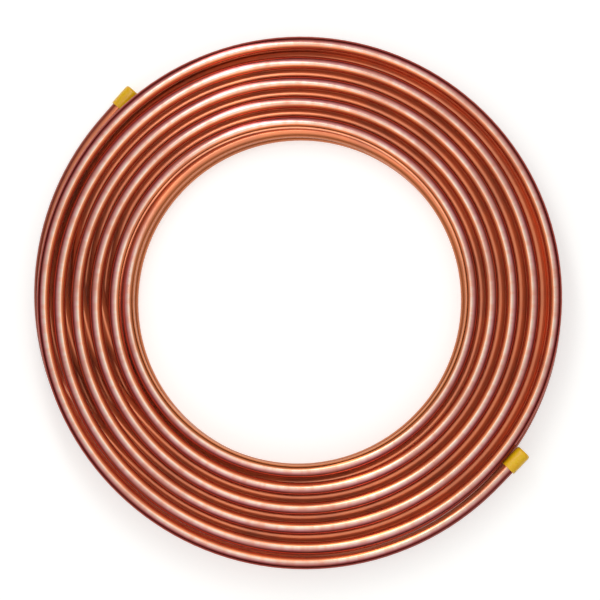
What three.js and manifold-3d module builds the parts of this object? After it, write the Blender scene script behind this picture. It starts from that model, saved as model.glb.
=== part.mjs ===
// A coil of soft copper tube as it is sold: flat-wound layers, lying on its side.
// The hidden layers are one turned ring with its bore, ribbed on its walls and faces as their
// turns are. The two end layers are wound onto that ring as real spirals, and each runs out into
// a free tube end with a plastic cap pushed on it.
// Millimetres, +Z up, the coil lying on z = 0.
import * as THREE from "three";
import { mergeVertices } from "three/addons/utils/BufferGeometryUtils.js";
import Module from "manifold-3d";

// Tube
const tubeDiameter = 6.35;
const tubeWall = 0.76;
const openEndDepth = 14;

// Winding, measured on the centre line of the tube
const layerCount = 4;
const layerSink = 0.2;
const innerTurnRadius = 81.3;
const turnGap = 3.07;
const pitchedTurns = 4.69;

// The turns widen between a ring of one turn in the bore and one round the rim
const firstTurnAngle = 120;
const wideningStartAngle = 298;
const wideningSoftness = 40;
const lastTurnAngle = 2116;

// Hand winding leaves the turns a little off the axis, and the outer ones most of all
const innerTurnShift = { x: -0.9, y: 0.35 };
const outerTurnShift = { x: 2.75, y: 0.35 };
const shiftGrowth = 2.4;

// The first turn climbs out of the layer behind it along the wall of the bore
const climbAngle = 95;

// Hidden layers, whose turns show as round ribs on the ring's walls and faces
const hiddenInnerRadius = 82.9;
const hiddenTurnSteps = 5;

// Free ends of the tube, straight for their last stretch
const tailLength = 18.5;
const tailDipAngle = 75;
const lowerTailSpread = 0.5;
const lowerTailSpreadAngle = 55;
const lowerFaceFlipAngle = 47.2;

// Caps
const capLength = 11.2;
const capWall = 0.4;
const capEndThickness = 1.2;
const capEndRound = 1.3;
const capClearance = 0.35;
const capOverlap = 9;

// Facets
const tubeSides = 10;
const sweepStep = 21;
const ringSegments = 36;
const wallRibFacets = 4;
const faceRibSides = 6;
const openEndSegments = 16;
const capSegments = 24;
const capRoundFacets = 4;

// Worked out from the sizes above
const degree = Math.PI / 180;
const tubeRadius = tubeDiameter / 2;
const turnPitch = tubeDiameter + turnGap;
const coilHeight = layerCount * tubeDiameter;
const upperTurnHeight = coilHeight - tubeRadius;
const hiddenTurnHeight = upperTurnHeight - tubeDiameter + layerSink;
const wideningEndAngle = wideningStartAngle + 360 * pitchedTurns;
const capBoreRadius = tubeRadius + capClearance;
const capRadius = capBoreRadius + capWall;
const capToTube = capRadius + tubeRadius + capClearance;

// A ramp that is 0 before its start, then follows the angle, with a rounded corner
function softRamp(angle, start) {
  return wideningSoftness * Math.log1p(Math.exp((angle - start) / wideningSoftness));
}

function clampShare(t) {
  return Math.min(Math.max(t, 0), 1);
}

function smoothStep(t) {
  const u = clampShare(t);
  return u * u * (3 - 2 * u);
}

// Centre line of the end layer's turns, seen from outside that layer
function turnPoint(angle) {
  const widened = softRamp(angle, wideningStartAngle) - softRamp(angle, wideningEndAngle);
  const radius = innerTurnRadius + (turnPitch * widened) / 360;
  const wound = (angle - firstTurnAngle) / (lastTurnAngle - firstTurnAngle);
  const shifted = clampShare(wound) ** shiftGrowth;
  const shiftX = innerTurnShift.x + (outerTurnShift.x - innerTurnShift.x) * shifted;
  const shiftY = innerTurnShift.y + (outerTurnShift.y - innerTurnShift.y) * shifted;
  return new THREE.Vector2(
    radius * Math.cos(angle * degree) + shiftX,
    radius * Math.sin(angle * degree) + shiftY
  );
}

// One end layer: the spiral, its climb out of the layer behind and its straight free end.
// dip lowers the free end towards the other face, spread stands it off the coil's rim.
class EndLayerLine extends THREE.Curve {
  constructor(dip, spread) {
    super();
    this.dip = dip;
    this.spread = spread;
    this.arcLengthDivisions = 3000;
    const lastStep = 0.5;
    this.tailStart = this.spiralPoint(lastTurnAngle);
    const before = this.spiralPoint(lastTurnAngle - lastStep);
    this.tailDirection = this.tailStart.clone().sub(before).setZ(0).normalize();
    this.spiralShare = 1 - tailLength / (tailLength + this.spiralLength());
  }

  spiralLength() {
    const turns = (lastTurnAngle - firstTurnAngle) / 360;
    const meanRadius = innerTurnRadius + (turnPitch * pitchedTurns) / 2;
    return turns * 2 * Math.PI * meanRadius;
  }

  spiralPoint(angle) {
    const plan = turnPoint(angle);
    const spreadShare = Math.max(0, 1 - (lastTurnAngle - angle) / lowerTailSpreadAngle);
    plan.setLength(plan.length() + this.spread * spreadShare);
    const climbed = smoothStep((angle - firstTurnAngle) / climbAngle);
    const height = hiddenTurnHeight + (upperTurnHeight - hiddenTurnHeight) * climbed;
    const dipped = this.dip * smoothStep(1 - (lastTurnAngle - angle) / tailDipAngle);
    return new THREE.Vector3(plan.x, plan.y, height - dipped);
  }

  getPoint(t, target = new THREE.Vector3()) {
    if (t < this.spiralShare) {
      const angle = firstTurnAngle + ((lastTurnAngle - firstTurnAngle) * t) / this.spiralShare;
      return target.copy(this.spiralPoint(angle));
    }
    const along = (tailLength * (t - this.spiralShare)) / (1 - this.spiralShare);
    return target.copy(this.tailStart).addScaledVector(this.tailDirection, along);
  }

  // Keeps the section upright, so that its flats lie level on both faces of the coil
  computeFrenetFrames(segments) {
    const frames = { tangents: [], normals: [], binormals: [] };
    const up = new THREE.Vector3(0, 0, 1);
    for (let i = 0; i <= segments; i++) {
      const tangent = this.getTangentAt(i / segments);
      const binormal = new THREE.Vector3().crossVectors(tangent, up).normalize();
      frames.tangents.push(tangent);
      frames.binormals.push(binormal);
      frames.normals.push(new THREE.Vector3().crossVectors(binormal, tangent));
    }
    return frames;
  }
}

// A regular polygon whose flats lie at the tube's radius
function tubeSection() {
  const section = new THREE.Shape();
  const corner = tubeRadius / Math.cos(Math.PI / tubeSides);
  for (let i = 0; i < tubeSides; i++) {
    const angle = (2 * Math.PI * (i + 0.5)) / tubeSides;
    const point = [corner * Math.cos(angle), corner * Math.sin(angle)];
    if (i === 0) section.moveTo(...point);
    else section.lineTo(...point);
  }
  section.closePath();
  return section;
}

function endLayerGeometry(line) {
  const steps = Math.round(line.getLength() / sweepStep);
  return new THREE.ExtrudeGeometry(tubeSection(), { steps, extrudePath: line });
}

// The ring of the hidden layers. One face's half of its section is drawn, and the other mirrors it.
function ringGeometry(outerRibRadius) {
  const half = [];
  function addWallRib(radius, outward, startAngle) {
    for (let i = 0; i <= wallRibFacets; i++) {
      const angle = (startAngle - (2 * startAngle * i) / wallRibFacets) * degree;
      const reach = tubeRadius * Math.cos(angle) * outward;
      half.push(new THREE.Vector2(radius + reach, hiddenTurnHeight + tubeRadius * Math.sin(angle)));
    }
  }
  const step = (outerRibRadius - hiddenInnerRadius) / hiddenTurnSteps;
  const crownHalfWidth = tubeRadius * Math.tan(Math.PI / faceRibSides);
  const crownHeight = hiddenTurnHeight + tubeRadius;
  addWallRib(outerRibRadius, 1, -90);
  for (let turn = 0; turn < hiddenTurnSteps; turn++) {
    const radius = outerRibRadius - step * turn;
    half.push(new THREE.Vector2(radius - crownHalfWidth, crownHeight));
    half.push(new THREE.Vector2(radius - step / 2, hiddenTurnHeight));
    half.push(new THREE.Vector2(radius - step + crownHalfWidth, crownHeight));
  }
  addWallRib(hiddenInnerRadius, -1, 90);
  const mirrored = half.map((point) => new THREE.Vector2(point.x, coilHeight - point.y)).reverse();
  const closed = [...mirrored, ...half, mirrored[0].clone()];
  return new THREE.LatheGeometry(closed, ringSegments).rotateX(Math.PI / 2);
}

// A plain push-on cap, its mouth at the origin and its closed end along +Y
function capGeometry() {
  const profile = [new THREE.Vector2(0, capLength - capEndThickness)];
  profile.push(new THREE.Vector2(capBoreRadius, capLength - capEndThickness));
  profile.push(new THREE.Vector2(capBoreRadius, 0), new THREE.Vector2(capRadius, 0));
  for (let i = 0; i <= capRoundFacets; i++) {
    const angle = (Math.PI / 2) * (i / capRoundFacets);
    const x = capRadius - capEndRound + capEndRound * Math.cos(angle);
    profile.push(new THREE.Vector2(x, capLength - capEndRound + capEndRound * Math.sin(angle)));
  }
  profile.push(new THREE.Vector2(0, capLength));
  return new THREE.LatheGeometry(profile, capSegments);
}

const manifold = await Module();
manifold.setup();

function toSolid(geometry) {
  const bare = geometry.clone();
  bare.deleteAttribute("normal");
  bare.deleteAttribute("uv");
  const merged = mergeVertices(bare, 1e-4);
  const vertProperties = new Float32Array(merged.attributes.position.array);
  const triVerts = new Uint32Array(merged.index.array);
  return new manifold.Manifold(new manifold.Mesh({ numProp: 3, vertProperties, triVerts }));
}

function toGeometry(solid) {
  const mesh = solid.getMesh();
  const geometry = new THREE.BufferGeometry();
  geometry.setAttribute("position", new THREE.BufferAttribute(mesh.vertProperties, 3));
  geometry.setIndex(new THREE.BufferAttribute(mesh.triVerts, 1));
  geometry.computeVertexNormals();
  return geometry;
}

// Turns a thing of the upper face over, to the same place on the lower face
const toLowerFace = new THREE.Matrix4()
  .makeTranslation(0, 0, coilHeight)
  .multiply(
    new THREE.Matrix4().makeRotationAxis(
      new THREE.Vector3(
        Math.cos(lowerFaceFlipAngle * degree),
        Math.sin(lowerFaceFlipAngle * degree),
        0
      ),
      Math.PI
    )
  );

// Where the free end passes the turn beside it, its cap has to clear that turn
const radiusAtTail = turnPoint(lastTurnAngle).length();
const sideStep = radiusAtTail - turnPoint(lastTurnAngle - 360).length();
const upperDip = Math.sqrt(Math.max(capToTube ** 2 - sideStep ** 2, 0));
const upperLine = new EndLayerLine(upperDip, 0);
const lowerLine = new EndLayerLine(capRadius - tubeRadius, lowerTailSpread);

function openEnd(line) {
  const bore = new THREE.CylinderGeometry(
    tubeRadius - tubeWall,
    tubeRadius - tubeWall,
    2 * openEndDepth,
    openEndSegments
  );
  const axis = new THREE.Quaternion().setFromUnitVectors(
    new THREE.Vector3(0, 1, 0),
    line.tailDirection
  );
  const end = line.getPoint(1);
  return bore.applyQuaternion(axis).translate(end.x, end.y, end.z);
}

function copperTube() {
  const ring = toSolid(ringGeometry(radiusAtTail - capToTube));
  const upperLayer = toSolid(endLayerGeometry(upperLine)).subtract(toSolid(openEnd(upperLine)));
  const lowerLayer = toSolid(
    endLayerGeometry(lowerLine).applyMatrix4(toLowerFace)
  ).subtract(toSolid(openEnd(lowerLine).applyMatrix4(toLowerFace)));
  const copper = new THREE.MeshStandardMaterial({ color: 0xb8643f, metalness: 1, roughness: 0.25 });
  const tube = new THREE.Mesh(toGeometry(ring.add(upperLayer).add(lowerLayer)), copper);
  tube.name = "copper_tube";
  return tube;
}

function endCap(name, line) {
  const plastic = new THREE.MeshStandardMaterial({ color: 0xd8a21c, metalness: 0, roughness: 0.4 });
  const cap = new THREE.Mesh(capGeometry(), plastic);
  cap.name = name;
  cap.quaternion.setFromUnitVectors(new THREE.Vector3(0, 1, 0), line.tailDirection);
  cap.position.copy(line.getPoint(1)).addScaledVector(line.tailDirection, -capOverlap);
  return cap;
}

const coil = new THREE.Group();
coil.add(copperTube(), endCap("upper_end_cap", upperLine));

const lowerFace = new THREE.Group();
lowerFace.applyMatrix4(toLowerFace);
lowerFace.add(endCap("lower_end_cap", lowerLine));
coil.add(lowerFace);

// The origin is under the middle of the coil's box
const box = new THREE.Box3().setFromObject(coil);
coil.position.set(-(box.min.x + box.max.x) / 2, -(box.min.y + box.max.y) / 2, 0);

export default coil;
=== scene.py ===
# %% [markdown]
# # A coil of soft copper tube
#
# The object is one long copper tube, wound flat in four layers that lie on each other, with a
# yellow plastic cap pushed on each free end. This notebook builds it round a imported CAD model,
# which gives the frame, the sizes and the places. The steps are: read the frame, wind the tube
# with Geometry Nodes, open its two ends, turn the caps, make the two finishes, and light it.

# %% Read the frame
import math

import bmesh
import bpy
from mathutils import Matrix, Vector


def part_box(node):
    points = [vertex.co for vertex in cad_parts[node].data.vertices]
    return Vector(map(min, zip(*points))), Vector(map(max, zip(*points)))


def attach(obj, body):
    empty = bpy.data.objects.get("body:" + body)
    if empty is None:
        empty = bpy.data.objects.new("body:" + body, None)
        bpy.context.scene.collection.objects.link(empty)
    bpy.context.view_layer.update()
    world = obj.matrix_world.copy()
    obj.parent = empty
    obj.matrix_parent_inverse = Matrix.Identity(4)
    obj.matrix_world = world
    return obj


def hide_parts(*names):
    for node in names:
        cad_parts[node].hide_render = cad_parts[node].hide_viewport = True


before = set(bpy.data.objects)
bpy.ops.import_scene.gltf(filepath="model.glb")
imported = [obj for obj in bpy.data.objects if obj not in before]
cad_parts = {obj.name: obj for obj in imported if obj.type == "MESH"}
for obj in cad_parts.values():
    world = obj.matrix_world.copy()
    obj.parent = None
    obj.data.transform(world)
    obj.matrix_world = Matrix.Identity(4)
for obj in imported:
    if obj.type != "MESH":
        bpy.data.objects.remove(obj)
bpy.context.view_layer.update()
print("CAD nodes:", sorted(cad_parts))

# %% [markdown]
# ## Two helpers
#
# Blender measures in metres, while a tube maker speaks in millimetres. So the object's sizes are
# written in millimetres, and MM makes metres of them where they are used. Colours are written as
# the hex values of a paint chart and turned to the linear values that a renderer mixes.
#
# All the node trees are built with one small function. It adds a node, sets it up, links what
# feeds it and gives back the output that is asked for, or nothing where the node is the end of
# its tree.

# %% Helpers
MM = 0.001


def linear(hex_colour):
    """An sRGB hex value as linear red, green, blue and alpha."""
    parts = [int(hex_colour[i : i + 2], 16) / 255 for i in (1, 3, 5)]
    mixed = [c / 12.92 if c <= 0.04045 else ((c + 0.055) / 1.055) ** 2.4 for c in parts]
    return (*mixed, 1.0)


def add(tree, kind, feeds=None, out=0, **settings):
    """Adds a node with its settings. Each input is fed a value or a socket. Returns one output."""
    node = tree.nodes.new(kind)
    for name, value in settings.items():
        setattr(node, name, value)
    for key, value in (feeds or {}).items():
        if isinstance(value, bpy.types.NodeSocket):
            tree.links.new(value, node.inputs[key])
        else:
            node.inputs[key].default_value = value
    return node.outputs[out] if node.outputs else None


print("pale grey in linear:", [round(c, 3) for c in linear("#E6E6E6")])

# %% [markdown]
# ## The sizes of the winding
#
# From its lower free end at the rim the tube runs in to the bore, climbs a layer, runs out to the
# rim, and so on, until the fourth layer brings it out to the upper free end. Seen from the middle
# of its length the coil is two halves: each runs through a hidden layer towards the bore, climbs
# the bore wall, and spirals out over one face to its free end. The second half is the first one
# turned over about a level line, so one rule makes both, and only the last stretch to each free
# end has sizes of its own. Angles are counted along the tube, in degrees round the coil's axis.

# %% Sizes of the winding
TUBE = 6.35
LAYERS = 4
FIRST_ANGLE = 120.0
LAST_ANGLE = 2116.0
TURN_OVER = 47.2
HIDDEN_SWEEP = FIRST_ANGLE - TURN_OVER + 180 + 360 * 5
FACE_WIDENING = 298.0
PITCHED_TURNS = 4.69
RIM_RADIUS = 125.5
TAIL = 18.5

winding = {
    "Tube diameter": TUBE * MM,
    "Coil height": LAYERS * TUBE * MM,
    "First turn radius": 81.3 * MM,
    "Face pitch": 9.414 * MM,
    "Face widening start": FACE_WIDENING,
    "Face widening end": FACE_WIDENING + 360 * PITCHED_TURNS,
    "Softness": 40.0,
    "Groove offset": 4.3 * MM,
    "First crossing": 290.0,
    "Crossing angle": 84.0,
    "Crossings": 5.0,
    "Outermost radius": 122.6 * MM,
    "Join angle": 180.0,
    "Join radius": 119.5 * MM,
    "First angle": FIRST_ANGLE,
    "Last angle": LAST_ANGLE,
    "Hidden sweep": HIDDEN_SWEEP,
    "Climb angle": 95.0,
    "Dip angle": 75.0,
    "Upper dip": 2.548 * MM,
    "Lower dip": 0.75 * MM,
    "Spread angle": 55.0,
    "Lower spread": 0.5 * MM,
    "Tail angle": math.degrees(TAIL / RIM_RADIUS),
    "Tail length": TAIL * MM,
    "Turn over azimuth": TURN_OVER,
    "Stations": 3301,
    "Sides": 28,
    "Waver": 0.05 * MM,
    "Shift growth": 2.4,
    "Inner shift": Vector((-0.9, 0.35, 0.0)) * MM,
    "Outer shift": Vector((2.75, 0.35, 0.0)) * MM,
    "Frame shift": Vector((1.0516, 0.8831, 0.0)) * MM,
}
print("half a winding sweeps", HIDDEN_SWEEP + LAST_ANGLE - FIRST_ANGLE, "degrees")

# %% [markdown]
# ## A soft ramp
#
# The turns keep one radius, then widen steadily, then keep the next. A ramp with a rounded corner
# gives that: nothing before its start, then the angle itself. Both corners need it, so it becomes
# a small node group of its own.

# %% Soft ramp group
def soft_ramp_group():
    tree = bpy.data.node_groups.new("Soft ramp", "GeometryNodeTree")
    for name in ("Angle", "Start", "Softness"):
        tree.interface.new_socket(name, in_out="INPUT", socket_type="NodeSocketFloat")
    tree.interface.new_socket("Ramp", in_out="OUTPUT", socket_type="NodeSocketFloat")
    given = tree.nodes.new("NodeGroupInput").outputs
    past = add(
        tree, "ShaderNodeMath", {0: given["Angle"], 1: given["Start"]}, operation="SUBTRACT"
    )
    share = add(tree, "ShaderNodeMath", {0: past, 1: given["Softness"]}, operation="DIVIDE")
    power = add(tree, "ShaderNodeMath", {0: share}, operation="EXPONENT")
    more = add(tree, "ShaderNodeMath", {0: power, 1: 1.0}, operation="ADD")
    log = add(tree, "ShaderNodeMath", {0: more, 1: math.e}, operation="LOGARITHM")
    ramp = add(tree, "ShaderNodeMath", {0: log, 1: given["Softness"]}, operation="MULTIPLY")
    add(tree, "NodeGroupOutput", {0: ramp})
    return tree


soft_ramp = soft_ramp_group()
print("soft ramp has", len(soft_ramp.nodes), "nodes")

# %% [markdown]
# ## The tree that winds the tube
#
# The tube could be drawn as a curve by hand, but every number of its path follows a rule, so the
# tree works the path out: each station along a plain line looks up its own index and moves to
# its place on the coil. Stations before the middle are then turned over onto the lower face.
# Curve to Mesh sweeps a circle along the path, with the section kept upright.

# %% Winding tree: inputs
VECTORS = ("Inner shift", "Outer shift", "Frame shift")
COUNTS = ("Stations", "Sides")


def socket_type(name):
    if name in VECTORS:
        return "NodeSocketVector"
    return "NodeSocketInt" if name in COUNTS else "NodeSocketFloat"


coil_tree = bpy.data.node_groups.new("Wound coil", "GeometryNodeTree")
coil_tree.interface.new_socket("Geometry", in_out="OUTPUT", socket_type="NodeSocketGeometry")
for name in winding:
    coil_tree.interface.new_socket(name, in_out="INPUT", socket_type=socket_type(name))
coil_tree.interface.new_socket("Finish", in_out="INPUT", socket_type="NodeSocketMaterial")
size = coil_tree.nodes.new("NodeGroupInput").outputs
print("named inputs:", len(size) - 1)

# %% Winding tree: the angle that each station has reached
index = add(coil_tree, "GeometryNodeInputIndex")
last = add(coil_tree, "ShaderNodeMath", {0: size["Stations"], 1: 1.0}, operation="SUBTRACT")
middle = add(coil_tree, "ShaderNodeMath", {0: last, 1: 2.0}, operation="DIVIDE")
from_middle = add(coil_tree, "ShaderNodeMath", {0: index, 1: middle}, operation="SUBTRACT")
stations_out = add(coil_tree, "ShaderNodeMath", {0: from_middle}, operation="ABSOLUTE")
face_sweep = add(
    coil_tree,
    "ShaderNodeMath",
    {0: size["Last angle"], 1: size["First angle"]},
    operation="SUBTRACT",
)
wound_sweep = add(
    coil_tree, "ShaderNodeMath", {0: face_sweep, 1: size["Hidden sweep"]}, operation="ADD"
)
half_sweep = add(
    coil_tree, "ShaderNodeMath", {0: wound_sweep, 1: size["Tail angle"]}, operation="ADD"
)
step = add(coil_tree, "ShaderNodeMath", {0: half_sweep, 1: middle}, operation="DIVIDE")
swept = add(coil_tree, "ShaderNodeMath", {0: stations_out, 1: step}, operation="MULTIPLY")
to_climb = add(
    coil_tree, "ShaderNodeMath", {0: size["Hidden sweep"], 1: swept}, operation="SUBTRACT"
)
reached = add(
    coil_tree, "ShaderNodeMath", {0: size["First angle"], 1: to_climb}, operation="SUBTRACT"
)
angle = add(coil_tree, "ShaderNodeMath", {0: reached, 1: size["Last angle"]}, operation="MINIMUM")
past_end = add(coil_tree, "ShaderNodeMath", {0: reached, 1: angle}, operation="SUBTRACT")
lower = add(
    coil_tree,
    "FunctionNodeCompare",
    {0: from_middle, 1: 0.0},
    operation="LESS_THAN",
    data_type="FLOAT",
)
print("nodes so far:", len(coil_tree.nodes))

# %% [markdown]
# A turn of the hidden layer lies in the groove between two turns of the face layer, and so runs
# beside them. The two layers are wound opposite ways, though, so once a turn it has to step over
# into the groove two further out. The tree says that with an angle to follow: the face turn that
# the hidden one lies beside. It is the station's own angle, plus two turns for each crossing.

# %% Winding tree: the face turn that each station follows
before_half = add(
    coil_tree, "ShaderNodeMath", {0: size["First crossing"], 1: 180.0}, operation="SUBTRACT"
)
past_half = add(coil_tree, "ShaderNodeMath", {0: to_climb, 1: before_half}, operation="SUBTRACT")
rounds = add(coil_tree, "ShaderNodeMath", {0: past_half, 1: 360.0}, operation="DIVIDE")
whole = add(coil_tree, "ShaderNodeMath", {0: rounds}, operation="FLOOR")
part = add(coil_tree, "ShaderNodeMath", {0: rounds, 1: whole}, operation="SUBTRACT")
half_width = add(
    coil_tree, "ShaderNodeMath", {0: size["Crossing angle"], 1: 720.0}, operation="DIVIDE"
)
starts = add(coil_tree, "ShaderNodeMath", {0: 0.5, 1: half_width}, operation="SUBTRACT")
stops = add(coil_tree, "ShaderNodeMath", {0: 0.5, 1: half_width}, operation="ADD")
stepped = add(
    coil_tree,
    "ShaderNodeMapRange",
    {0: part, 1: starts, 2: stops, 3: 0.0, 4: 1.0},
    interpolation_type="SMOOTHSTEP",
)
any_crossings = add(coil_tree, "ShaderNodeMath", {0: whole, 1: stepped}, operation="ADD")
crossings = add(coil_tree, "ShaderNodeMath", {0: any_crossings, 1: 0.0}, operation="MAXIMUM")
first_crossed = add(coil_tree, "ShaderNodeMath", {0: crossings, 1: 1.0}, operation="MINIMUM")
two_turns = add(coil_tree, "ShaderNodeMath", {0: crossings, 1: 720.0}, operation="MULTIPLY")
followed = add(coil_tree, "ShaderNodeMath", {0: angle, 1: two_turns}, operation="ADD")
print("nodes so far:", len(coil_tree.nodes))

# %% [markdown]
# The radius is the first turn's, plus what the followed face turn has gained, plus the way into
# its groove. The second hidden turn must also clear the one that makes the bore wall, so it stays
# about a tube diameter off it, and the last ones are held in, so that they pack side by side under
# the rim. At the middle of the length the radius eases to one value, where the two halves meet.
# Both limits are rounded over a quarter of a tube diameter.
#
# Face turns stay clear of each other. Neighbouring hidden turns don't quite: measured on the
# finished mesh, some run into each other, by 1.2 mm at most, where in a real coil they would only
# touch.

# %% Winding tree: radius
ramps = [
    add(
        coil_tree,
        "GeometryNodeGroup",
        {"Angle": followed, "Start": size[corner], "Softness": size["Softness"]},
        node_tree=soft_ramp,
    )
    for corner in ("Face widening start", "Face widening end")
]
widened = add(coil_tree, "ShaderNodeMath", {0: ramps[0], 1: ramps[1]}, operation="SUBTRACT")
turns = add(coil_tree, "ShaderNodeMath", {0: widened, 1: 360.0}, operation="DIVIDE")
gain = add(coil_tree, "ShaderNodeMath", {0: turns, 1: size["Face pitch"]}, operation="MULTIPLY")
spiral = add(coil_tree, "ShaderNodeMath", {0: gain, 1: size["First turn radius"]}, operation="ADD")
into_groove = add(
    coil_tree, "ShaderNodeMath", {0: size["Groove offset"], 1: first_crossed}, operation="MULTIPLY"
)
beside = add(coil_tree, "ShaderNodeMath", {0: spiral, 1: into_groove}, operation="ADD")
clearance = add(
    coil_tree, "ShaderNodeMath", {0: size["Tube diameter"], 1: first_crossed}, operation="MULTIPLY"
)
clear_radius = add(
    coil_tree, "ShaderNodeMath", {0: size["First turn radius"], 1: clearance}, operation="ADD"
)
ease = add(coil_tree, "ShaderNodeMath", {0: clearance, 1: 0.25}, operation="MULTIPLY")
cleared = add(
    coil_tree, "ShaderNodeMath", {0: beside, 1: clear_radius, 2: ease}, operation="SMOOTH_MAX"
)
to_come = add(
    coil_tree, "ShaderNodeMath", {0: size["Crossings"], 1: crossings}, operation="SUBTRACT"
)
room = add(
    coil_tree, "ShaderNodeMath", {0: to_come, 1: size["Tube diameter"]}, operation="MULTIPLY"
)
packed = add(
    coil_tree, "ShaderNodeMath", {0: size["Outermost radius"], 1: room}, operation="SUBTRACT"
)
on_face_layer = add(coil_tree, "ShaderNodeMath", {0: 1.0, 1: first_crossed}, operation="SUBTRACT")
held_in = add(coil_tree, "ShaderNodeMath", {0: packed, 1: on_face_layer}, operation="ADD")
layer_radius = add(
    coil_tree, "ShaderNodeMath", {0: cleared, 1: held_in, 2: ease}, operation="SMOOTH_MIN"
)
join_start = add(
    coil_tree,
    "ShaderNodeMath",
    {0: size["Hidden sweep"], 1: size["Join angle"]},
    operation="SUBTRACT",
)
joined = add(
    coil_tree,
    "ShaderNodeMapRange",
    {0: to_climb, 1: join_start, 2: size["Hidden sweep"], 3: 0.0, 4: 1.0},
    interpolation_type="SMOOTHSTEP",
)
radius = add(
    coil_tree,
    "ShaderNodeMix",
    {0: joined, 2: layer_radius, 3: size["Join radius"]},
    data_type="FLOAT",
)
print("nodes so far:", len(coil_tree.nodes))

# %% [markdown]
# Hand winding leaves the turns a little off the axis, the outer ones most of all, so a small shift
# grows along the face layer, and the hidden turns share it until they near the join.

# %% Winding tree: shift
past_first = add(
    coil_tree, "ShaderNodeMath", {0: angle, 1: size["First angle"]}, operation="SUBTRACT"
)
before_last = add(
    coil_tree, "ShaderNodeMath", {0: size["Crossings"], 1: 1.0}, operation="SUBTRACT"
)
shared = add(coil_tree, "ShaderNodeMath", {0: crossings, 1: before_last}, operation="MINIMUM")
shared_turns = add(coil_tree, "ShaderNodeMath", {0: shared, 1: 720.0}, operation="MULTIPLY")
past_followed = add(coil_tree, "ShaderNodeMath", {0: past_first, 1: shared_turns}, operation="ADD")
face_share = add(
    coil_tree,
    "ShaderNodeMath",
    {0: past_followed, 1: face_sweep},
    operation="DIVIDE",
    use_clamp=True,
)
grown_share = add(
    coil_tree, "ShaderNodeMath", {0: face_share, 1: size["Shift growth"]}, operation="POWER"
)
face_shift = add(
    coil_tree,
    "ShaderNodeMix",
    {0: grown_share, 4: size["Inner shift"], 5: size["Outer shift"]},
    out=1,
    data_type="VECTOR",
)
unjoined = add(coil_tree, "ShaderNodeMath", {0: 1.0, 1: joined}, operation="SUBTRACT")
shift = add(coil_tree, "ShaderNodeVectorMath", {0: face_shift, 3: unjoined}, operation="SCALE")
print("nodes so far:", len(coil_tree.nodes))

# %% Winding tree: the place in plan
radians = add(coil_tree, "ShaderNodeMath", {0: angle}, operation="RADIANS")
cosine = add(coil_tree, "ShaderNodeMath", {0: radians}, operation="COSINE")
sine = add(coil_tree, "ShaderNodeMath", {0: radians}, operation="SINE")
outward = add(coil_tree, "ShaderNodeCombineXYZ", {0: cosine, 1: sine})
arm = add(coil_tree, "ShaderNodeVectorMath", {0: outward, 3: radius}, operation="SCALE")
plan = add(coil_tree, "ShaderNodeVectorMath", {0: arm, 1: shift}, operation="ADD")

# The lower free end stands off the rim a little, so its plan point moves straight out.
to_end = add(coil_tree, "ShaderNodeMath", {0: size["Last angle"], 1: angle}, operation="SUBTRACT")
spread_left = add(
    coil_tree, "ShaderNodeMath", {0: to_end, 1: size["Spread angle"]}, operation="DIVIDE"
)
spread_share = add(
    coil_tree, "ShaderNodeMath", {0: 1.0, 1: spread_left}, operation="SUBTRACT", use_clamp=True
)
spread = add(
    coil_tree, "ShaderNodeMath", {0: spread_share, 1: size["Lower spread"]}, operation="MULTIPLY"
)
own_spread = add(
    coil_tree, "GeometryNodeSwitch", {0: lower, 1: 0.0, 2: spread}, input_type="FLOAT"
)
off_axis = add(coil_tree, "ShaderNodeVectorMath", {0: plan}, operation="NORMALIZE")
stand_off = add(coil_tree, "ShaderNodeVectorMath", {0: off_axis, 3: own_spread}, operation="SCALE")
spread_plan = add(coil_tree, "ShaderNodeVectorMath", {0: plan, 1: stand_off}, operation="ADD")
print("nodes so far:", len(coil_tree.nodes))

# %% [markdown]
# The height steps down by a tube diameter where the face layer climbs out of the hidden one and
# again at the middle of the tube's length, where the two halves meet on the rim. Near its free
# end the tube dips, so that its cap clears the turn beside it.

# %% Winding tree: height
tube_radius = add(
    coil_tree, "ShaderNodeMath", {0: size["Tube diameter"], 1: 2.0}, operation="DIVIDE"
)
face_height = add(
    coil_tree, "ShaderNodeMath", {0: size["Coil height"], 1: tube_radius}, operation="SUBTRACT"
)
climbed = add(
    coil_tree,
    "ShaderNodeMapRange",
    {0: past_first, 1: 0.0, 2: size["Climb angle"], 3: 1.0, 4: 0.0},
    interpolation_type="SMOOTHSTEP",
)
fore = add(coil_tree, "ShaderNodeMath", {0: size["Climb angle"], 1: -0.5}, operation="MULTIPLY")
aft = add(coil_tree, "ShaderNodeMath", {0: size["Climb angle"], 1: 0.5}, operation="MULTIPLY")
crossed = add(
    coil_tree,
    "ShaderNodeMapRange",
    {0: swept, 1: fore, 2: aft, 3: 1.0, 4: 0.0},
    interpolation_type="SMOOTHSTEP",
)
steps_down = add(coil_tree, "ShaderNodeMath", {0: climbed, 1: crossed}, operation="ADD")
layers_down = add(
    coil_tree, "ShaderNodeMath", {0: steps_down, 1: size["Tube diameter"]}, operation="MULTIPLY"
)
dip = add(
    coil_tree,
    "GeometryNodeSwitch",
    {0: lower, 1: size["Upper dip"], 2: size["Lower dip"]},
    input_type="FLOAT",
)
dipped = add(
    coil_tree,
    "ShaderNodeMapRange",
    {0: to_end, 1: size["Dip angle"], 2: 0.0, 3: 0.0, 4: dip},
    interpolation_type="SMOOTHSTEP",
)
down = add(coil_tree, "ShaderNodeMath", {0: layers_down, 1: dipped}, operation="ADD")
height = add(coil_tree, "ShaderNodeMath", {0: face_height, 1: down}, operation="SUBTRACT")
print("nodes so far:", len(coil_tree.nodes))

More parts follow.
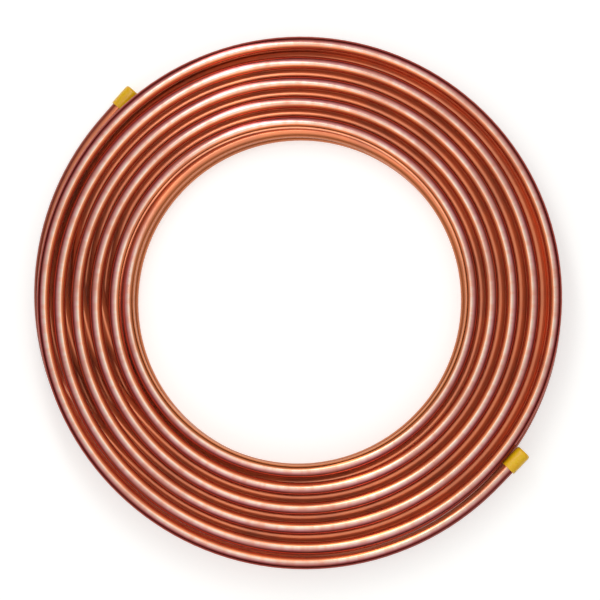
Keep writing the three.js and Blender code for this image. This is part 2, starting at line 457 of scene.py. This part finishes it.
# %% Winding tree: the straight free ends
lean = add(
    coil_tree,
    "ShaderNodeMath",
    {0: size["Lower spread"], 1: size["Spread angle"]},
    operation="DIVIDE",
)
lean_rate = add(coil_tree, "ShaderNodeMath", {0: lean}, operation="DEGREES")
lean_slope = add(coil_tree, "ShaderNodeMath", {0: lean_rate, 1: radius}, operation="DIVIDE")
own_slope = add(
    coil_tree, "GeometryNodeSwitch", {0: lower, 1: 0.0, 2: lean_slope}, input_type="FLOAT"
)
along_turn = add(
    coil_tree, "ShaderNodeVectorMath", {0: outward, 1: (0, 0, 1)}, operation="CROSS_PRODUCT"
)
leaning = add(coil_tree, "ShaderNodeVectorMath", {0: outward, 3: own_slope}, operation="SCALE")
heading = add(coil_tree, "ShaderNodeVectorMath", {0: leaning, 1: along_turn}, operation="SUBTRACT")
straight = add(coil_tree, "ShaderNodeVectorMath", {0: heading}, operation="NORMALIZE")
past_share = add(
    coil_tree, "ShaderNodeMath", {0: past_end, 1: size["Tail angle"]}, operation="DIVIDE"
)
past_length = add(
    coil_tree, "ShaderNodeMath", {0: past_share, 1: size["Tail length"]}, operation="MULTIPLY"
)
tail = add(coil_tree, "ShaderNodeVectorMath", {0: straight, 3: past_length}, operation="SCALE")
lifted = add(coil_tree, "ShaderNodeCombineXYZ", {2: height})
on_face = add(coil_tree, "ShaderNodeVectorMath", {0: spread_plan, 1: lifted}, operation="ADD")
upper_place = add(coil_tree, "ShaderNodeVectorMath", {0: on_face, 1: tail}, operation="ADD")
print("nodes so far:", len(coil_tree.nodes))

# %% [markdown]
# Turning a station over is half a turn about a level axis at mid height, which one Vector Rotate
# node does.

# %% Winding tree: turning over
over = add(coil_tree, "ShaderNodeMath", {0: size["Turn over azimuth"]}, operation="RADIANS")
over_x = add(coil_tree, "ShaderNodeMath", {0: over}, operation="COSINE")
over_y = add(coil_tree, "ShaderNodeMath", {0: over}, operation="SINE")
over_axis = add(coil_tree, "ShaderNodeCombineXYZ", {0: over_x, 1: over_y})
mid_height = add(coil_tree, "ShaderNodeMath", {0: size["Coil height"], 1: 2.0}, operation="DIVIDE")
mid_point = add(coil_tree, "ShaderNodeCombineXYZ", {2: mid_height})
lower_place = add(
    coil_tree,
    "ShaderNodeVectorRotate",
    {"Vector": upper_place, "Center": mid_point, "Axis": over_axis, "Angle": math.pi},
    rotation_type="AXIS_ANGLE",
)
place = add(
    coil_tree,
    "GeometryNodeSwitch",
    {0: lower, 1: upper_place, 2: lower_place},
    input_type="VECTOR",
)
print("nodes so far:", len(coil_tree.nodes))

# %% [markdown]
# A little noise then moves each station sideways by some hundredths of a millimetre, as no
# hand-wound tube lies quite true. It has 22 waves to the metre, so one bend takes about 45 mm. W
# is its fixed seed.

# %% Winding tree: waver
WAVES_PER_METRE = 22.0
WAVER_SEED = 7.0
noise = add(
    coil_tree,
    "ShaderNodeTexNoise",
    {"Vector": place, "W": WAVER_SEED, "Scale": WAVES_PER_METRE, "Detail": 1.0},
    out=1,
    noise_dimensions="4D",
)
centred = add(
    coil_tree, "ShaderNodeVectorMath", {0: noise, 1: (0.5, 0.5, 0.5)}, operation="SUBTRACT"
)
level = add(
    coil_tree, "ShaderNodeVectorMath", {0: centred, 1: (2.0, 2.0, 0.0)}, operation="MULTIPLY"
)
waver = add(coil_tree, "ShaderNodeVectorMath", {0: level, 3: size["Waver"]}, operation="SCALE")
wavered = add(coil_tree, "ShaderNodeVectorMath", {0: place, 1: waver}, operation="ADD")
final_place = add(
    coil_tree, "ShaderNodeVectorMath", {0: wavered, 1: size["Frame shift"]}, operation="ADD"
)
print("nodes so far:", len(coil_tree.nodes))

# %% [markdown]
# With every place known, the stations become a curve and the tube's section is swept along it. How
# far along the tube a point lies, from 0 to 1, is kept as an attribute for the finish to read.

# %% Winding tree: sweep
line = add(coil_tree, "GeometryNodeMeshLine", {"Count": size["Stations"]})
curve = add(coil_tree, "GeometryNodeMeshToCurve", {0: line})
wound = add(coil_tree, "GeometryNodeSetPosition", {"Geometry": curve, "Position": final_place})
upright = add(coil_tree, "GeometryNodeSetCurveNormal", {"Curve": wound}, mode="Z_UP")
along = add(coil_tree, "GeometryNodeSplineParameter", out=1)
marked = add(
    coil_tree,
    "GeometryNodeStoreNamedAttribute",
    {"Geometry": upright, "Name": "along", "Value": along},
    data_type="FLOAT",
    domain="POINT",
)
section = add(
    coil_tree,
    "GeometryNodeCurvePrimitiveCircle",
    {"Resolution": size["Sides"], "Radius": tube_radius},
)
swept_tube = add(coil_tree, "GeometryNodeCurveToMesh", {"Curve": marked, "Profile Curve": section})
smooth = add(coil_tree, "GeometryNodeSetShadeSmooth", {"Geometry": swept_tube})
real = add(coil_tree, "GeometryNodeRealizeInstances", {"Geometry": smooth})
finished = add(
    coil_tree, "GeometryNodeSetMaterial", {"Geometry": real, "Material": size["Finish"]}
)
add(coil_tree, "NodeGroupOutput", {0: finished})
print("the winding tree has", len(coil_tree.nodes), "nodes")

# %% [markdown]
# ## The copper finish
#
# The tube is annealed copper: drawn through dies, then softened in a furnace and left bright. It
# reflects like a slightly blurred mirror that is tinted orange, carries fine draw lines along its
# length, and picks up soft smudges where it was handled. A metal's colour is its reflection, so
# the tint goes on Base Color with Metallic at 1 wherever the metal shows, and the gaps between
# turns deepen to red by themselves, because light bounces there several times.
#
# The furnace also leaves a film of oxide, a deep red on the layers inside and beside the crowns.
# On the crowns of the two end layers it is painted pale: partly film rubbed thin by hands and
# packing, partly a painted highlight. The end layers' flanks are painted lighter, a painted
# reflection of the neighbouring turn. The side that faces away from the bore is painted mauve and
# darker, the side that faces it straw: painted shade and painted colour fringes beside the
# highlights. The outside of the rim is painted dark maroon, a painted dark reflection. So the tint
# follows the way the surface faces and where it lies on the coil. Each part of that is a small
# function.

# %% Annealed copper: which way the surface faces, and how far out it lies
def facing_and_reach(tree, where):
    """The way the surface faces, how far that is away from the axis, and the distance from it."""
    flat = add(tree, "ShaderNodeVectorMath", {0: where, 1: (1.0, 1.0, 0.0)}, operation="MULTIPLY")
    reach = add(tree, "ShaderNodeVectorMath", {0: flat}, out=1, operation="LENGTH")
    away = add(tree, "ShaderNodeVectorMath", {0: flat}, operation="NORMALIZE")
    facing = add(tree, "ShaderNodeTexCoord", out=1)
    outwards = add(
        tree, "ShaderNodeVectorMath", {0: facing, 1: away}, out=1, operation="DOT_PRODUCT"
    )
    return facing, outwards, reach


def off_mid_height(tree, where):
    """How far above or below the coil's mid height the surface lies."""
    level = add(tree, "ShaderNodeSeparateXYZ", {0: where}, out=2)
    above = add(
        tree, "ShaderNodeMath", {0: level, 1: LAYERS * TUBE * MM / 2}, operation="SUBTRACT"
    )
    return add(tree, "ShaderNodeMath", {0: above}, operation="ABSOLUTE")


print("mid height in mm:", LAYERS * TUBE / 2)

# %% [markdown]
# A crown is where the tube faces straight up or down, and a flank is where it faces sideways.
# The crowns of the end layers are painted pale, partly film rubbed thin and partly a painted
# highlight, and more so on some stretches of the 14.5 m of tube than on others, each about 70 mm
# long, which a noise along the tube gives.

# %% Annealed copper: crowns, flanks and rubbed stretches
TUBE_LENGTH = 14490.0
PATCH_LENGTH = 69.0


def crown_and_flank(tree, facing):
    """How far a place is a crown, and how far it is a flank."""
    slope = add(tree, "ShaderNodeSeparateXYZ", {0: facing}, out=2)
    upright = add(tree, "ShaderNodeMath", {0: slope}, operation="ABSOLUTE")
    return [
        add(
            tree,
            "ShaderNodeMapRange",
            {0: upright, 1: least, 2: most, 3: at_least, 4: 1.0 - at_least},
            interpolation_type="SMOOTHSTEP",
        )
        for least, most, at_least in ((0.89, 0.985, 0.0), (0.2, 0.75, 1.0))
    ]


def rub_and_highlight_share(tree, along, crown, end_layer):
    """How far a crown is painted pale: film rubbed thin, and a painted highlight."""
    patch_place = add(
        tree, "ShaderNodeMath", {0: along, 1: TUBE_LENGTH / PATCH_LENGTH}, operation="MULTIPLY"
    )
    patch_noise = add(
        tree,
        "ShaderNodeTexNoise",
        {"W": patch_place, "Scale": 1.0, "Detail": 3.0},
        noise_dimensions="1D",
    )
    patches = add(tree, "ShaderNodeMapRange", {0: patch_noise, 1: 0.36, 2: 0.56, 3: 0.7, 4: 1.0})
    end_crown = add(tree, "ShaderNodeMath", {0: crown, 1: end_layer}, operation="MULTIPLY")
    return add(tree, "ShaderNodeMath", {0: end_crown, 1: patches}, operation="MULTIPLY")


print("patches along the tube:", TUBE_LENGTH / PATCH_LENGTH)

# %% [markdown]
# The film has a straw side and a darker mauve side at each shade. The mauve side, which faces away
# from the bore, is painted shade, and the two sides are painted colour fringes beside the
# highlights. It is pale on the crowns, rubbed film and a painted highlight, deep where nothing
# rubs, and lighter on the end layers' flanks, a painted reflection of the neighbouring turn.

# %% Annealed copper: the film of oxide
# Each pair is a straw side and a darker mauve side: painted shade and painted colour fringes.
PALE_FILM_AND_HIGHLIGHT = ("#E2CAB7", "#D79293")
DEEP_FILM_AND_SHADE = ("#F68C58", "#AE5450")
FLANK_FILM_AND_REFLECTION = ("#FCC4A2", "#B47468")


def film_and_painted_light(tree, outwards, flank, rubbed_and_highlit, end_layer):
    """The film's colour, with painted highlight, painted reflection, painted shade and painted
    colour fringes.
    """
    # The side that faces away from the bore turns mauve and darker: painted shade and painted
    # colour fringes.
    side = add(tree, "ShaderNodeMapRange", {0: outwards, 1: -0.10, 2: 0.26, 3: 0.0, 4: 1.0})
    fringe_and_shade_side = add(tree, "ShaderNodeMath", {0: side, 1: end_layer}, operation="MULTIPLY")
    pale, deep, reflecting_flank = [
        add(
            tree,
            "ShaderNodeMix",
            {0: fringe_and_shade_side, 6: linear(straw), 7: linear(mauve)},
            out=2,
            data_type="RGBA",
        )
        for straw, mauve in (PALE_FILM_AND_HIGHLIGHT, DEEP_FILM_AND_SHADE, FLANK_FILM_AND_REFLECTION)
    ]
    # The end layers' flanks are painted lighter, a painted reflection of the neighbouring turn.
    faces_turn = add(tree, "ShaderNodeMath", {0: flank, 1: end_layer}, operation="MULTIPLY")
    unrubbed = add(
        tree, "ShaderNodeMix", {0: faces_turn, 6: deep, 7: reflecting_flank}, out=2, data_type="RGBA"
    )
    return add(
        tree, "ShaderNodeMix", {0: rubbed_and_highlit, 6: unrubbed, 7: pale}, out=2, data_type="RGBA"
    )


print("film colours, rubbed, deep and sheltered:", PALE_FILM_AND_HIGHLIGHT, DEEP_FILM_AND_SHADE, FLANK_FILM_AND_REFLECTION)

# %% [markdown]
# Handling leaves smudges a few centimetres long, a touch browner and rougher than the clean
# metal. The inward faces of the bore's wall are browner, and the outside of the rim is painted
# dark maroon, a painted dark reflection. Each of these two follows the distance from the axis, in
# millimetres, and how far the surface faces away from the axis.

# %% Annealed copper: smudges, bore and rim
SMUDGES_PER_METRE = 38.0
BROWN_SMUDGE = "#C97A60"
WALL_TINTS_AND_SHADE = (
    # distances, shares there, ways of facing, shares there, colour
    ((80.0, 83.0), (0.75, 0.0), (-0.60, -0.15), (1.0, 0.0), "#B4683C"),  # the bore, brown
    # the rim's outside is painted dark maroon, a painted dark reflection
    ((120.5, 123.0), (0.0, 0.85), (0.12, 0.60), (0.0, 1.0), "#842824"),  # the rim, maroon
)


def smudged_metal(tree, film, smudge):
    """The film's colour with smudges over it."""
    smudged = add(tree, "ShaderNodeMapRange", {0: smudge, 1: 0.45, 2: 0.75, 3: 0.0, 4: 0.7})
    return add(
        tree,
        "ShaderNodeMix",
        {0: smudged, 6: film, 7: linear(BROWN_SMUDGE)},
        out=2,
        data_type="RGBA",
    )


def walls_tinted_and_shaded(tree, metal, outwards, reach):
    """The metal's colour, browner on the bore's wall and painted dark maroon on the rim's outside,
    a painted dark reflection.
    """
    for (near, far), at_reach, (inmost, outmost), at_facing, colour in WALL_TINTS_AND_SHADE:
        by_reach = add(
            tree,
            "ShaderNodeMapRange",
            {0: reach, 1: near * MM, 2: far * MM, 3: at_reach[0], 4: at_reach[1]},
            interpolation_type="SMOOTHSTEP",
        )
        by_facing = add(
            tree,
            "ShaderNodeMapRange",
            {0: outwards, 1: inmost, 2: outmost, 3: at_facing[0], 4: at_facing[1]},
            interpolation_type="SMOOTHSTEP",
        )
        wall_share = add(tree, "ShaderNodeMath", {0: by_reach, 1: by_facing}, operation="MULTIPLY")
        metal = add(
            tree, "ShaderNodeMix", {0: wall_share, 6: metal, 7: linear(colour)}, out=2, data_type="RGBA"
        )
    return metal


print("walls with a film of their own:", len(WALL_TINTS_AND_SHADE))

# %% [markdown]
# Draw lines run along the tube, so their noise is squeezed round it and stretched along it. Real
# ones are a few hundredths of a millimetre apart, too fine to show, so they are drawn about a
# third of a millimetre wide, nine to the tube's radius.

# %% Annealed copper: draw lines
LINES_PER_RADIUS = 9.0
LINE_LENGTH = 1610.0


def draw_lines(tree, along, facing):
    """A bumped normal with the tube's draw lines."""
    down_tube = add(
        tree, "ShaderNodeMath", {0: along, 1: TUBE_LENGTH / LINE_LENGTH}, operation="MULTIPLY"
    )
    round_tube = add(
        tree, "ShaderNodeVectorMath", {0: facing, 3: LINES_PER_RADIUS}, operation="SCALE"
    )
    lines = add(
        tree,
        "ShaderNodeTexNoise",
        {"Vector": round_tube, "W": down_tube, "Scale": 1.0, "Detail": 2.0},
        noise_dimensions="4D",
    )
    return add(
        tree, "ShaderNodeBump", {"Height": lines, "Strength": 0.10, "Distance": 0.05 * MM}
    )


print("draw lines round the tube:", round(2 * math.pi * LINES_PER_RADIUS))

# %% [markdown]
# The finish puts these together. Nothing ever rubs deep between the turns, so the red oxide there
# is thicker and partly matt, and shows some colour of its own where a bare metal would only
# reflect the dark. Levels are in millimetres off the coil's mid height.

# %% Annealed copper
END_LAYER_LEVEL = (7.0, 9.5)
BARE_METAL_LEVEL = (8.5, 11.2)


def annealed_copper():
    material = bpy.data.materials.new("Annealed bright copper")
    material.use_nodes = True
    tree = material.node_tree
    tree.nodes.clear()
    where = add(tree, "ShaderNodeTexCoord", out=3)
    along = add(tree, "ShaderNodeAttribute", attribute_name="along", out=2)
    facing, outwards, reach = facing_and_reach(tree, where)
    off_middle = off_mid_height(tree, where)
    end_layer = add(
        tree,
        "ShaderNodeMapRange",
        {0: off_middle, 1: END_LAYER_LEVEL[0] * MM, 2: END_LAYER_LEVEL[1] * MM, 3: 0.1, 4: 1.0},
        interpolation_type="SMOOTHSTEP",
    )
    crown, flank = crown_and_flank(tree, facing)
    # The end layers' crowns are painted pale: rubbed film and a painted highlight.
    rubbed_and_highlit = rub_and_highlight_share(tree, along, crown, end_layer)
    film = film_and_painted_light(tree, outwards, flank, rubbed_and_highlit, end_layer)
    smudge = add(
        tree,
        "ShaderNodeTexNoise",
        {"Vector": where, "Scale": SMUDGES_PER_METRE, "Detail": 3.0, "Roughness": 0.6},
    )
    colour = walls_tinted_and_shaded(tree, smudged_metal(tree, film, smudge), outwards, reach)
    shine = add(tree, "ShaderNodeMapRange", {0: smudge, 1: 0.3, 2: 0.75, 3: 0.10, 4: 0.20})
    roughness = add(tree, "ShaderNodeMix", {0: rubbed_and_highlit, 2: 0.19, 3: shine}, data_type="FLOAT")
    metal_share = add(
        tree,
        "ShaderNodeMapRange",
        {0: off_middle, 1: BARE_METAL_LEVEL[0] * MM, 2: BARE_METAL_LEVEL[1] * MM, 3: 0.5, 4: 1.0},
        interpolation_type="SMOOTHSTEP",
    )
    surface = add(
        tree,
        "ShaderNodeBsdfPrincipled",
        {
            "Base Color": colour,
            "Metallic": metal_share,
            "Roughness": roughness,
            "Specular Tint": linear("#FFECE0"),
            "Normal": draw_lines(tree, along, facing),
        },
    )
    add(tree, "ShaderNodeOutputMaterial", {"Surface": surface})
    return material


copper = annealed_copper()
print("finish:", copper.name, "with", len(copper.node_tree.nodes), "nodes")

# %% [markdown]
# ## Winding the tube
#
# The tree runs on an empty mesh. Its inputs are set by the identifier of each socket before it is
# evaluated, the result is read off as a plain mesh, and the modifier is thrown away with its
# carrier, so nothing is left live.

# %% Wind the tube
carrier = bpy.data.objects.new("winding_carrier", bpy.data.meshes.new("winding_carrier"))
bpy.context.scene.collection.objects.link(carrier)
modifier = carrier.modifiers.new("Winding", "NODES")
modifier.node_group = coil_tree
for socket in coil_tree.interface.items_tree:
    if socket.in_out == "INPUT":
        modifier[socket.identifier] = copper if socket.name == "Finish" else winding[socket.name]
evaluated = carrier.evaluated_get(bpy.context.evaluated_depsgraph_get())
tube_mesh = bpy.data.meshes.new_from_object(evaluated)
bpy.data.objects.remove(carrier)
tube_mesh.name = "copper_tube_wound"
print("tube:", len(tube_mesh.vertices), "points,", len(tube_mesh.polygons), "faces")

# %% [markdown]
# ## Opening the ends
#
# The sweep is an open skin, so its two ends are holes with sharp rims. A real tube end shows the
# wall and a bore. Each end ring is copied inwards to make the wall, then drawn back into the tube
# and closed where the cap hides it.

# %% Where the tube ends
WALL = 0.76
BORE_DEPTH = 14.0
SHARP_EDGE = math.radians(40.0)
SIDES = winding["Sides"]


def end_ring(mesh, first):
    """The middle of the tube's first or last ring, and the way out of the tube there."""
    count = len(mesh.vertices)
    start, behind = (0, SIDES) if first else (count - SIDES, count - 2 * SIDES)
    ring = [mesh.vertices[start + i].co.copy() for i in range(SIDES)]
    inner = [mesh.vertices[behind + i].co.copy() for i in range(SIDES)]
    middle = sum(ring, Vector()) / SIDES
    before = sum(inner, Vector()) / SIDES
    return middle, (middle - before).normalized()


ends = {"lower": end_ring(tube_mesh, True), "upper": end_ring(tube_mesh, False)}
for name, (middle, way_out) in ends.items():
    print(name, "end in mm:", [round(1000 * c, 2) for c in middle])

# %% Open the ends
skin = bmesh.new()
skin.from_mesh(tube_mesh)
for middle, way_out in ends.values():
    rim = [e for e in skin.edges if e.is_boundary and (e.verts[0].co - middle).length < TUBE * MM]
    for share, back in (((TUBE / 2 - WALL) / (TUBE / 2), 0.0), (1.0, BORE_DEPTH * MM)):
        grown = bmesh.ops.extrude_edge_only(skin, edges=rim)["geom"]
        rim = [g for g in grown if isinstance(g, bmesh.types.BMEdge) and g.is_boundary]
        for v in (g for g in grown if isinstance(g, bmesh.types.BMVert)):
            centre = middle if back == 0.0 else v.co
            v.co = centre + (v.co - centre) * share - way_out * back
    bmesh.ops.edgeloop_fill(skin, edges=rim)
bmesh.ops.recalc_face_normals(skin, faces=skin.faces)
for e in skin.edges:
    e.smooth = e.calc_face_angle(0.0) < SHARP_EDGE
skin.to_mesh(tube_mesh)
skin.free()
tube = bpy.data.objects.new("wound_copper_tube", tube_mesh)
bpy.context.scene.collection.objects.link(tube)
print("with its ends open:", len(tube_mesh.vertices), "points,", len(tube_mesh.polygons), "faces")

# %% [markdown]
# ## The caps' finish
#
# The caps are moulded polyethylene, yellow through and through and a little see-through in their
# thin wall, with the soft gloss of a waxy plastic. Light that enters comes out again
# nearby, which subsurface scattering gives, and a faint mottle keeps the surface from looking
# like paint. The mottle is about 3 mm wide and the grain of the surface less than one.

# %% Polyethylene
MOTTLES_PER_METRE = 350.0
GRAINS_PER_METRE = 1400.0


def polyethylene():
    material = bpy.data.materials.new("Yellow polyethylene")
    material.use_nodes = True
    tree = material.node_tree
    tree.nodes.clear()
    where = add(tree, "ShaderNodeTexCoord", out=3)
    mottle = add(
        tree, "ShaderNodeTexNoise", {"Vector": where, "Scale": MOTTLES_PER_METRE, "Detail": 3.0}
    )
    colour = add(
        tree,
        "ShaderNodeMix",
        {0: mottle, 6: linear("#FFD21A"), 7: linear("#FFBA08")},
        out=2,
        data_type="RGBA",
    )
    roughness = add(tree, "ShaderNodeMapRange", {0: mottle, 1: 0.3, 2: 0.7, 3: 0.24, 4: 0.34})
    grain = add(
        tree, "ShaderNodeTexNoise", {"Vector": where, "Scale": GRAINS_PER_METRE, "Detail": 2.0}
    )
    bump = add(tree, "ShaderNodeBump", {"Height": grain, "Strength": 0.15, "Distance": 0.05 * MM})
    surface = add(
        tree,
        "ShaderNodeBsdfPrincipled",
        {
            "Base Color": colour,
            "Roughness": roughness,
            "IOR": 1.51,
            "Subsurface Weight": 0.25,
            "Subsurface Radius": (1.0, 0.6, 0.1),
            "Subsurface Scale": 0.6 * MM,
            "Normal": bump,
        },
    )
    add(tree, "ShaderNodeOutputMaterial", {"Surface": surface})
    return material


plastic = polyethylene()
print("finish:", plastic.name)

# %% [markdown]
# ## Turning the caps
#
# A cap is a short cup. Its section is a list of radius and height pairs, from the middle of its
# closed end outside, round to the middle of the floor inside, and a turn about the axis makes the
# cup. The rounded end and the softened mouth are what catch the light. The closed end has a
# shallow dimple, given as radius and depth pairs. All sizes are in millimetres.

# %% The section of a cap
CAP_LENGTH = 11.2
CAP_OVERLAP = 9.0
CAP_CLEARANCE = 0.35
CAP_WALL = 0.4
CAP_FLOOR = 1.2
END_ROUND = 1.3
END_TAPER = 0.05
MOUTH_ROUND = 0.18
MOUTH_BREAK = 0.1
FLOOR_CORNER = 0.4
DIMPLE = ((0.0, 0.12), (1.0, 0.12), (1.25, 0.02), (1.5, 0.0))


def arc(middle_r, middle_h, size_r, first, last, steps):
    """Points of a quarter round in the section, angles in degrees."""
    turns = [math.radians(first + (last - first) * i / steps) for i in range(steps + 1)]
    return [(middle_r + size_r * math.cos(t), middle_h + size_r * math.sin(t)) for t in turns]


def cap_section():
    bore = TUBE / 2 + CAP_CLEARANCE
    out = bore + CAP_WALL
    section = [(r, CAP_LENGTH - depth) for r, depth in DIMPLE]
    section += arc(out - END_TAPER - END_ROUND, CAP_LENGTH - END_ROUND, END_ROUND, 90, 0, 8)
    section += arc(out - MOUTH_ROUND, MOUTH_ROUND, MOUTH_ROUND, 0, -90, 4)
    section += arc(bore + MOUTH_BREAK, MOUTH_BREAK, MOUTH_BREAK, 270, 180, 3)
    floor_height = CAP_LENGTH - CAP_FLOOR
    section += [(bore, floor_height - FLOOR_CORNER), (bore - FLOOR_CORNER, floor_height)]
    return section + [(0.0, floor_height)]


print("a cap's section has", len(cap_section()), "points")

# %% Turn the caps
AROUND = 64


def turned_cap(name, middle, way_out):
    section = cap_section()
    cup = bmesh.new()
    rings = []
    for r, h in section:
        if r == 0.0:
            rings.append([cup.verts.new((0, 0, h * MM))])
            continue
        turns = [2 * math.pi * i / AROUND for i in range(AROUND)]
        rings.append(
            [cup.verts.new((r * MM * math.cos(t), r * MM * math.sin(t), h * MM)) for t in turns]
        )
    for upper, under in zip(rings, rings[1:]):
        for i in range(AROUND):
            j = (i + 1) % AROUND
            corners = [upper[i % len(upper)], under[i % len(under)], under[j % len(under)]]
            corners.append(upper[j % len(upper)])
            cup.faces.new(list(dict.fromkeys(corners)))
    bmesh.ops.recalc_face_normals(cup, faces=cup.faces)
    for face in cup.faces:
        face.smooth = True
    mesh = bpy.data.meshes.new(name)
    cup.to_mesh(mesh)
    cup.free()
    turn = way_out.to_track_quat("Z", "Y").to_matrix().to_4x4()
    mouth = middle - way_out * CAP_OVERLAP * MM
    mesh.transform(Matrix.Translation(mouth) @ turn)
    mesh.materials.append(plastic)
    cap = bpy.data.objects.new(name, mesh)
    bpy.context.scene.collection.objects.link(cap)
    return cap


caps = {name: turned_cap(f"moulded_{name}_cap", *ends[name]) for name in ends}
for name, cap in caps.items():
    corners = [cap.matrix_world @ Vector(c) for c in cap.bound_box]
    low = [round(1000 * min(c[i] for c in corners), 2) for i in range(3)]
    high = [round(1000 * max(c[i] for c in corners), 2) for i in range(3)]
    cad = [[round(1000 * v, 2) for v in c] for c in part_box(f"{name}_end_cap")]
    print(name, "cap", low, high, "CAD", cad)

# %% [markdown]
# ## What rides on what
#
# Each finished piece stands for the CAD solid it was built over, so that solid is hidden but
# keeps its place in the physics.

# %% Ride and replace
for piece, node, slot in (
    (tube, "copper_tube", "copper"),
    (caps["upper"], "upper_end_cap", "cap_plastic"),
    (caps["lower"], "lower_end_cap", "cap_plastic"),
):
    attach(piece, "root")
    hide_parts(node)
    print(piece.name, "replaces", node)

# %% [markdown]
# ## The floor
#
# The coil lies on a wide white sheet. Its own colour does most of the work, and a little light of
# its own, seen by the camera and in reflections alike, lifts it to white, while the shadow under
# the rim stays. That light fades out between two distances from the middle of the coil. The floor
# and the lamps are sized in metres.

# %% Floor
FLOOR_RADIUS = 1.6
LIFT = 0.46
LIFT_FULL, LIFT_GONE = 0.22, 0.55


def white_sheet():
    material = bpy.data.materials.new("White paper sheet")
    material.use_nodes = True
    tree = material.node_tree
    tree.nodes.clear()
    paper = add(tree, "ShaderNodeBsdfDiffuse", {"Color": linear("#F1F4F1")})
    path = tree.nodes.new("ShaderNodeLightPath").outputs
    seen = add(
        tree,
        "ShaderNodeMath",
        {0: path["Is Camera Ray"], 1: path["Is Glossy Ray"]},
        operation="MAXIMUM",
    )
    shown = add(
        tree, "ShaderNodeMath", {0: seen, 1: path["Is Transmission Ray"]}, operation="MAXIMUM"
    )
    where = add(tree, "ShaderNodeTexCoord", out=3)
    reach = add(tree, "ShaderNodeVectorMath", {0: where}, out=1, operation="LENGTH")
    pool = add(
        tree,
        "ShaderNodeMapRange",
        {0: reach, 1: LIFT_FULL, 2: LIFT_GONE, 3: LIFT, 4: 0.0},
        interpolation_type="SMOOTHSTEP",
    )
    lift = add(tree, "ShaderNodeMath", {0: shown, 1: pool}, operation="MULTIPLY")
    glow = add(tree, "ShaderNodeEmission", {"Color": (1, 1, 1, 1), "Strength": lift})
    both = add(tree, "ShaderNodeAddShader", {0: paper, 1: glow})
    add(tree, "ShaderNodeOutputMaterial", {"Surface": both})
    return material


bpy.ops.mesh.primitive_circle_add(vertices=96, radius=FLOOR_RADIUS, fill_type="NGON")
floor = bpy.context.object
floor.name = "white_sheet"
floor.data.materials.append(white_sheet())
print("floor radius in m:", FLOOR_RADIUS)

# %% [markdown]
# ## Light
#
# Polished tube shows its lamps as bright lines along its top, so where the lamps hang decides the
# look. A single softbox would draw one flat band with hard edges. Here a great level one hangs
# over the coil with smaller and smaller ones under it, all on the axis, so what a crown reflects
# fades softly from its middle to its flanks, as under a real diffuser with a lamp behind it. All
# but the largest are longer in Y than in X, so the bands are wider where the turns run along X. A
# long strip off to one side, like a tall window, lies along a radius and sharpens the line on the
# turns that face it. The world is a dim warm grey that stands for the room beyond the lamps.

# %% A softbox
def area_lamp(name, place, target, size_x, size_y, radiance, spin=0.0):
    """A softbox that shows that radiance, whatever its size."""
    data = bpy.data.lights.new(name, "AREA")
    data.shape = "RECTANGLE"
    data.size, data.size_y = size_x, size_y
    data.energy = radiance * math.pi * size_x * size_y
    lamp = bpy.data.objects.new(name, data)
    lamp.location = place
    aim = (Vector(target) - Vector(place)).to_track_quat("-Z", "Y")
    lamp.rotation_euler = (aim.to_matrix() @ Matrix.Rotation(spin, 3, "Z")).to_euler()
    lamp.visible_camera = False
    bpy.context.scene.collection.objects.link(lamp)
    return lamp


print("a softbox of 1 m at radiance 1 takes", round(math.pi, 2), "W")

# %% Lamps
SOFTBOXES = (
    # name, height, size along X, size along Y, radiance
    ("Room light", 0.44, 2.60, 2.60, 0.31),
    ("Wide softbox", 0.40, 1.30, 1.50, 0.25),
    ("Broad softbox", 0.36, 0.62, 0.94, 0.10),
    ("Overhead softbox", 0.30, 0.26, 0.54, 0.16),
    ("Softbox middle", 0.25, 0.10, 0.26, 0.38),
)
STRIP_AZIMUTH = math.radians(106.0)
STRIP_REACH, STRIP_HEIGHT = 0.60, 0.45
STRIP_WIDTH, STRIP_LENGTH, STRIP_RADIANCE = 0.10, 1.0, 2.8

for name, lamp_height, wide, long, radiance in SOFTBOXES:
    area_lamp(name, (0.0, 0.0, lamp_height), (0, 0, 0), wide, long, radiance)
strip_x, strip_y = STRIP_REACH * math.cos(STRIP_AZIMUTH), STRIP_REACH * math.sin(STRIP_AZIMUTH)
area_lamp(
    "Window strip",
    (strip_x, strip_y, STRIP_HEIGHT),
    (strip_x, strip_y, 0.0),
    STRIP_WIDTH,
    STRIP_LENGTH,
    STRIP_RADIANCE,
    spin=STRIP_AZIMUTH - math.radians(90.0),
)

# %% World
world = bpy.data.worlds.new("Dim room")
world.use_nodes = True
world.node_tree.nodes["Background"].inputs["Color"].default_value = linear("#504643")
world.node_tree.nodes["Background"].inputs["Strength"].default_value = 1.0
bpy.context.scene.world = world
bpy.context.scene.view_settings.view_transform = "Standard"
print("world:", world.name)

# %% [markdown]
# ## Camera
#
# The camera hangs straight above, far enough away that the walls of the coil hardly show, with a
# long lens that just holds the coil. The view is so many millimetres wide at the level of the top
# turns' middles, and the lens follows from that. Only the camera's height is in metres.

# %% Camera
CAMERA_HEIGHT = 1.5
CAMERA_X, CAMERA_Y = 1.147, 1.466
TOP_TURN_LEVEL = 22.2
VIEW_WIDTH = 286.44
SENSOR_WIDTH = 36.0
eye = bpy.data.cameras.new("Overhead camera")
eye.sensor_width = SENSOR_WIDTH
eye.lens = SENSOR_WIDTH * (CAMERA_HEIGHT - TOP_TURN_LEVEL * MM) / (VIEW_WIDTH * MM)
camera = bpy.data.objects.new("Overhead camera", eye)
camera.location = (CAMERA_X * MM, CAMERA_Y * MM, CAMERA_HEIGHT)
bpy.context.scene.collection.objects.link(camera)
bpy.context.scene.camera = camera
print("lens in mm:", round(eye.lens, 1))
